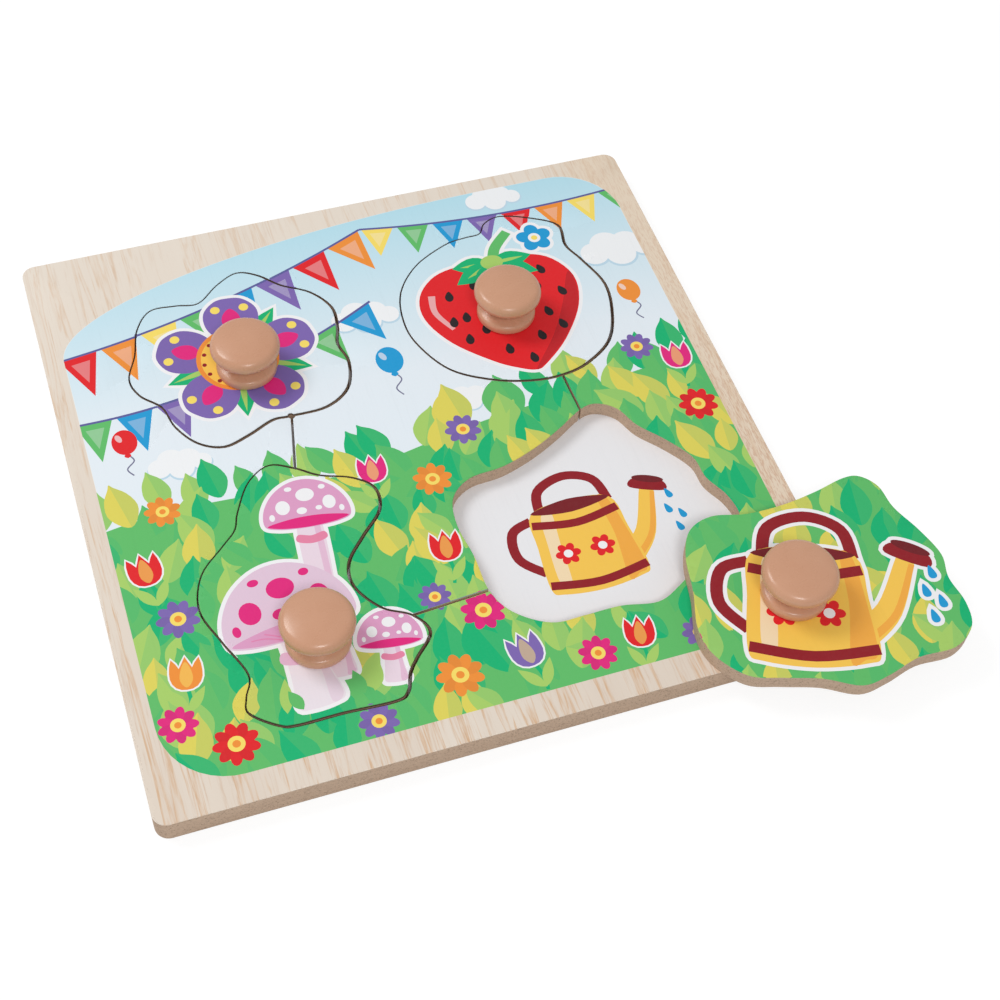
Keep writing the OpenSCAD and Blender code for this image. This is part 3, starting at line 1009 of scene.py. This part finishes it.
def sawn_board(node, name, shapes, home=None, panel=None, top=SANDED, bottom=SANDED, deep=0):
    """A board that stands for a solid, with a print in its top face. Home carries places on the
    board, in millimetres, back to where the print was laid out. Top and bottom are the radii of
    its edges, and deep is how far its face lies below the veneer."""
    home = Matrix.Identity(4) if home is None else home
    board = bpy.data.objects.new(name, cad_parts[node].data.copy())
    bpy.context.scene.collection.objects.link(board)
    board.data.materials.clear()
    for finish in (VENEER, FIBRE_EDGE):
        board.data.materials.append(finish)
    low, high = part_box(node)
    bm = walls_of(board.data, low, high)
    bm.loops.layers.float_color.new("ink")
    depth = bm.verts.layers.float.new("depth")
    rims = open_rims(bm)
    made = {}
    for up, z, soft, print_in in ((True, high.z, top, shapes), (False, low.z, bottom, [])):
        pairs, made[up] = [], []
        for rim in rims:
            if (rim[0].co.z > (low.z + high.z) / 2) == up:
                outer, inner, strip = rounded(bm, rim, soft, up)
                pairs.append((outer, inner))
                made[up] += strip
        made[up] += mosaic(bm, pairs, z, up, print_in, home)
    for vert in bm.verts:
        p = home @ Vector((vert.co.x / MM, vert.co.y / MM, 0))
        # edges open to the light are stored past the painted gap shade
        vert[depth] = deep + (high.z - vert.co.z) / MM + (PAST_SHADE if open_to_light(p) else 0)
    bm.normal_update()
    printed = made[True]
    if top <= GLUED:
        printed = [face for face in made[True] if face.normal.z > FLAT]
    lay_ink(bm, printed, shapes, home, panel)
    bm.to_mesh(board.data)
    bm.free()
    board.select_set(True)
    bpy.context.view_layer.objects.active = board
    bpy.ops.object.shade_smooth_by_angle(angle=math.radians(18))
    board.select_set(False)
    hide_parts(node)
    print(name, "tiles:", len(made[True]), "faces:", len(board.data.polygons))
    return board


print("edges are rounded by", SANDED / MM, "mm, glued ones by", GLUED / MM)

# %% [markdown]
# ## The frame, the pieces and the backing
# The frame and the three seated pieces keep the print where it was laid out. The watering can has
# been taken out and turned, so its print is carried from its recess to where the piece lies. The
# frame and the backing are glued and sanded as one board, so no rounded edge shows between them.

# %% Boards
SLIP = (-0.25, 0.25)
ASIDE, ASIDE_TURN = (106.5, -92.0), -18.5

frame_board = sawn_board("frame_board", "printed_frame", garden, None, PAPER_EDGE, SANDED, GLUED)
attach(frame_board, "board")
for name, home in HOMES.items():
    if name == "can":
        turned = Matrix.Rotation(math.radians(-ASIDE_TURN), 4, "Z")
        carried = Matrix.Translation((*home, 0)) @ turned
        carried = carried @ Matrix.Translation((-ASIDE[0], -ASIDE[1], 0))
    else:
        carried = Matrix.Translation((-SLIP[0], -SLIP[1], 0))
    board = sawn_board(name + "_piece", "printed_" + name, garden, carried, PAPER_EDGE)
    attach(board, name)

PAPER = [(-120, -120), (120, -120), (120, 120), (-120, 120)]
FRAME_H = 6
floors = [(PAPER, ink(243, 243, 246)), *floor_print]
backing = sawn_board("backing_board", "backing", floors, None, None, GLUED, SANDED, FRAME_H)
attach(backing, "board")

# %% [markdown]
# ## Turned knobs
# A knob is a mushroom: a round cap with a shallow crown, a narrow neck, and a flange whose cone
# falls away to a rounded rim. A lathe makes it from one profile, and so will Spin. The profile
# starts at the end of the screw hole, so the spun skin is closed. It is built from arcs that run
# into each other without a corner. The knob of the watering can is a little wider than the others.

# %% Knob profile
def arc(cx, cz, r, start, end, steps):
    turns = [math.radians(start + (end - start) * i / steps) for i in range(steps + 1)]
    return [(cx + r * math.cos(t), cz + r * math.sin(t)) for t in turns]


FLANGE_R, WIDE_FLANGE_R = 10.3, 10.6
FLANGE_H, FOOT_R, RIM_H, RIM_R = 4.8, 1.0, 2.0, 1.6
NECK_R, NECK_H, FILLET = 6.0, 4.4, 1.0
CAP_H, LOW_R, BAND, TOP_R = 6.2, 2.0, 0.2, 3.0
BORE_R, BORE_H, SOLE_R = 1.6, 9.1, 5.0


def blend(start, corner, end, steps=4):
    """A soft turn from one point to another in place of a corner."""
    line = []
    for i in range(steps + 1):
        u, v = i / steps, 1 - i / steps
        both = zip(start, corner, end)
        line.append(tuple(v * v * a + 2 * u * v * b + u * u * c for a, b, c in both))
    return line


def knob_profile(cap_r, flange_r):
    """The half section, from the end of the screw hole round to the top of the crown."""
    reach = Vector((NECK_R - flange_r + RIM_R, FLANGE_H - RIM_H))
    cone = math.atan2(reach.y, reach.x) - math.acos(RIM_R / reach.length)
    falls = (NECK_R + FILLET * math.sin(cone), FLANGE_H - FILLET * math.cos(cone))
    under, rim = FLANGE_H + NECK_H, cap_r - TOP_R
    rise = CAP_H - LOW_R - BAND
    crown_r = (rim**2 + rise**2 - TOP_R**2) / (2 * (rise - TOP_R))
    lean = math.degrees(math.atan2(crown_r - rise, rim))
    line = [(0, BORE_H), (BORE_R, BORE_H), (BORE_R, 0), (SOLE_R, 0)]
    line += arc(flange_r - FOOT_R, FOOT_R, FOOT_R, -90, 0, 5)
    line += arc(flange_r - RIM_R, RIM_H, RIM_R, 0, math.degrees(cone), 6)
    line += blend(falls, (NECK_R, FLANGE_H), (NECK_R, FLANGE_H + FILLET))
    line += blend((NECK_R, under - FILLET), (NECK_R, under), (NECK_R + FILLET, under))
    line += arc(cap_r - LOW_R, under + LOW_R, LOW_R, -90, 0, 8)
    line += arc(rim, under + LOW_R + BAND, TOP_R, 0, lean, 8)
    line += arc(0, under + CAP_H - crown_r, crown_r, lean, 90, 7)[1:-1]
    return line + [(0, under + CAP_H)]


print("profile points:", len(knob_profile(11.75, FLANGE_R)), "height:", FLANGE_H + NECK_H + CAP_H)

# %% [markdown]
# ## A lathe
# Spin turns an outline round an axis, as a lathe turns wood. A plane is merged to a single vertex,
# the vertex is drawn out along the profile step by step, and the line is spun once all the way
# round. The first and last rows then meet, so doubles are merged and the normals turned outwards.

# %% Lathe
def spun(name, low, high, profile, steps):
    """A profile in millimetres, spun round the upright axis of a box."""
    middle = (low + high) / 2
    base = Vector((middle.x, middle.y, low.z))
    bpy.ops.object.select_all(action="DESELECT")
    bpy.ops.mesh.primitive_plane_add(size=MM, location=(0, 0, 0))
    bpy.ops.object.mode_set(mode="EDIT")
    bpy.ops.mesh.merge(type="CENTER")
    bpy.ops.transform.translate(value=base + Vector((0, 0, profile[0][1] * MM)))
    for (r0, z0), (r1, z1) in zip(profile, profile[1:]):
        step = ((r1 - r0) * MM, 0, (z1 - z0) * MM)
        bpy.ops.mesh.extrude_region_move(TRANSFORM_OT_translate={"value": step})
    bpy.ops.mesh.select_all(action="SELECT")
    bpy.ops.mesh.spin(steps=steps, angle=2 * math.pi, center=base, axis=(0, 0, 1))
    bpy.ops.mesh.select_all(action="SELECT")
    bpy.ops.mesh.remove_doubles(threshold=WELD)
    bpy.ops.mesh.normals_make_consistent(inside=False)
    bpy.ops.object.mode_set(mode="OBJECT")
    made = bpy.context.object
    made.name = name
    return made, base


print("lathe ready")

# %% [markdown]
# ## The four knobs
# Each knob takes its cap's width from its solid. Turned wood has soft edges and no facets, so the
# skin is shaded smooth, apart from the sharp edge of the screw hole.

# %% Spin the knobs
KNOB_STEPS = 96


def knob(name):
    low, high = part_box(name + "_knob")
    flange_r = WIDE_FLANGE_R if name == "can" else FLANGE_R
    profile = knob_profile((high.x - low.x) / 2 / MM, flange_r)
    made, _ = spun("knob_" + name, low, high, profile, KNOB_STEPS)
    bpy.ops.object.shade_smooth_by_angle(angle=math.radians(50))
    made.data.materials.append(LACQUER)
    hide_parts(name + "_knob")
    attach(made, name)
    print(made.name, "faces:", len(made.data.polygons))


for name in HOMES:
    knob(name)

# %% [markdown]
# ## Screws
# Each knob is held by a countersunk screw with a cross slot. Only the head shows, in the underside
# of a lifted piece. It is a spun profile too, and two bars are cut out of the head.

# %% Screws
HEAD_R, SHANK_R, SCREW_STEPS = 3.0, 1.5, 48
CROSS_BAR = (4 * MM, 0.8 * MM, 2 * MM)


def screw(name):
    low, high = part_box(name + "_screw")
    length, edge = (high.z - low.z) / MM, HEAD_R - 0.04
    outline = [(0, 0), (1.6, 0), (HEAD_R - 0.25, 0), (edge, 0.08), (edge, 0.22)]
    outline += [(SHANK_R + 0.2, 1.5), (SHANK_R, 1.7), (SHANK_R, length - 1.2)]
    outline += [(0.5, length - 0.1), (0, length)]
    made, base = spun("screw_" + name, low, high, outline, SCREW_STEPS)
    for turn in (0, 90):
        bpy.ops.object.select_all(action="DESELECT")
        bpy.ops.mesh.primitive_cube_add(size=1, location=base, rotation=(0, 0, math.radians(turn)))
        bar = bpy.context.object
        bar.scale = CROSS_BAR
        bpy.context.view_layer.objects.active = made
        cut = made.modifiers.new("cross", "BOOLEAN")
        cut.operation, cut.object, cut.solver = "DIFFERENCE", bar, "EXACT"
        bpy.ops.object.modifier_apply(modifier=cut.name)
        bpy.data.objects.remove(bar)
    made.select_set(True)
    bpy.ops.object.shade_smooth_by_angle(angle=math.radians(30))
    made.data.materials.append(STEEL)
    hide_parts(name + "_screw")
    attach(made, name)
    print(made.name, "faces:", len(made.data.polygons))


for name in HOMES:
    screw(name)

# %% [markdown]
# ## Floor and background
# The toy lies on a white studio sweep. A brighter lamp would make a grey floor white, but it would
# bleach the print too. So the floor is mixed with a white glow for the camera and for reflections
# only: the light on the puzzle stays plain, and the floor keeps a soft shadow.

# %% Floor and background
GLOW, GLOW_SHARE = 1.14, 0.72
ROOM, WHITE_OUT = 0.46, 0.54
FLOOR_Z = -0.2 * MM


def studio_floor():
    f = Finish("studio_floor")
    tone = f.grain((3, 3, 3), 2, 0.5)
    f.feed(Base_Color=f.between(ink(246, 246, 246), ink(240, 240, 240), tone), Roughness=0.9)
    seen = f.add("ShaderNodeLightPath", {}, {}, "Is Camera Ray")
    mirrored = f.add("ShaderNodeLightPath", {}, {}, "Is Glossy Ray")
    through = f.add("ShaderNodeLightPath", {}, {}, "Is Transmission Ray")
    glow = f.add("ShaderNodeEmission", {}, {"Color": (1, 1, 1, 1), "Strength": GLOW})
    share = (seen + mirrored + through) * GLOW_SHARE
    both = f.add("ShaderNodeMixShader", {}, {0: share, 2: glow})
    f.tree.links.new(f.shader.outputs[0], both.socket.node.inputs[1])
    f.tree.links.new(both.socket, f.tree.nodes["Material Output"].inputs["Surface"])
    return f.material


def studio_world():
    f = Finish("studio", world=True)
    seen = f.add("ShaderNodeLightPath", {}, {}, "Is Camera Ray")
    through = f.add("ShaderNodeLightPath", {}, {}, "Is Transmission Ray")
    return f.feed(Color=(1, 1, 1, 1), Strength=ROOM + (seen + through) * WHITE_OUT)


bpy.ops.object.select_all(action="DESELECT")
bpy.ops.mesh.primitive_plane_add(size=8, location=(0, 0, FLOOR_Z))
floor = bpy.context.object
floor.name = "floor"
floor.data.materials.append(studio_floor())
bpy.context.scene.world = studio_world()
print("floor and background ready")

# %% [markdown]
# ## Lamps and camera
# Two round lamps stand in for the studio's soft boxes: a wide one at the back left, and a smaller
# one in front that puts the short glints on the knobs. The camera stands where the photograph was
# taken from: its place and its three directions were fitted to the corners of the board.

# %% Lamps and camera
def lamp(name, at, size, power):
    data = bpy.data.lights.new(name, "AREA")
    data.shape, data.size, data.energy = "DISK", size, power
    made = bpy.data.objects.new(name, data)
    made.location = at
    made.rotation_euler = (-Vector(at)).to_track_quat("-Z", "Y").to_euler()
    bpy.context.scene.collection.objects.link(made)


lamp("window_left", (-0.6, 0.5, 0.98), 0.5, 5.2)
lamp("front_fill", (-0.1, -0.76, 0.98), 0.28, 3.7)

data = bpy.data.cameras.new("camera")
data.lens, data.sensor_width = 61.60, 36.0
camera = bpy.data.objects.new("camera", data)
right, up = Vector((0.9459, -0.3201, 0.0531)), Vector((0.2305, 0.7780, 0.5845))
ahead, stands = Vector((0.2284, 0.5406, -0.8097)), (-0.10909, -0.33351, 0.46144)
turned = Matrix((right, up, -ahead)).transposed().to_4x4()
camera.matrix_world = Matrix.Translation(stands) @ turned
bpy.context.scene.collection.objects.link(camera)
bpy.context.scene.camera = camera
bpy.context.scene.view_settings.view_transform = "Standard"
print("camera at", [round(x, 3) for x in camera.location])

# %% [markdown]
# The dressed puzzle must not be larger than its solids.
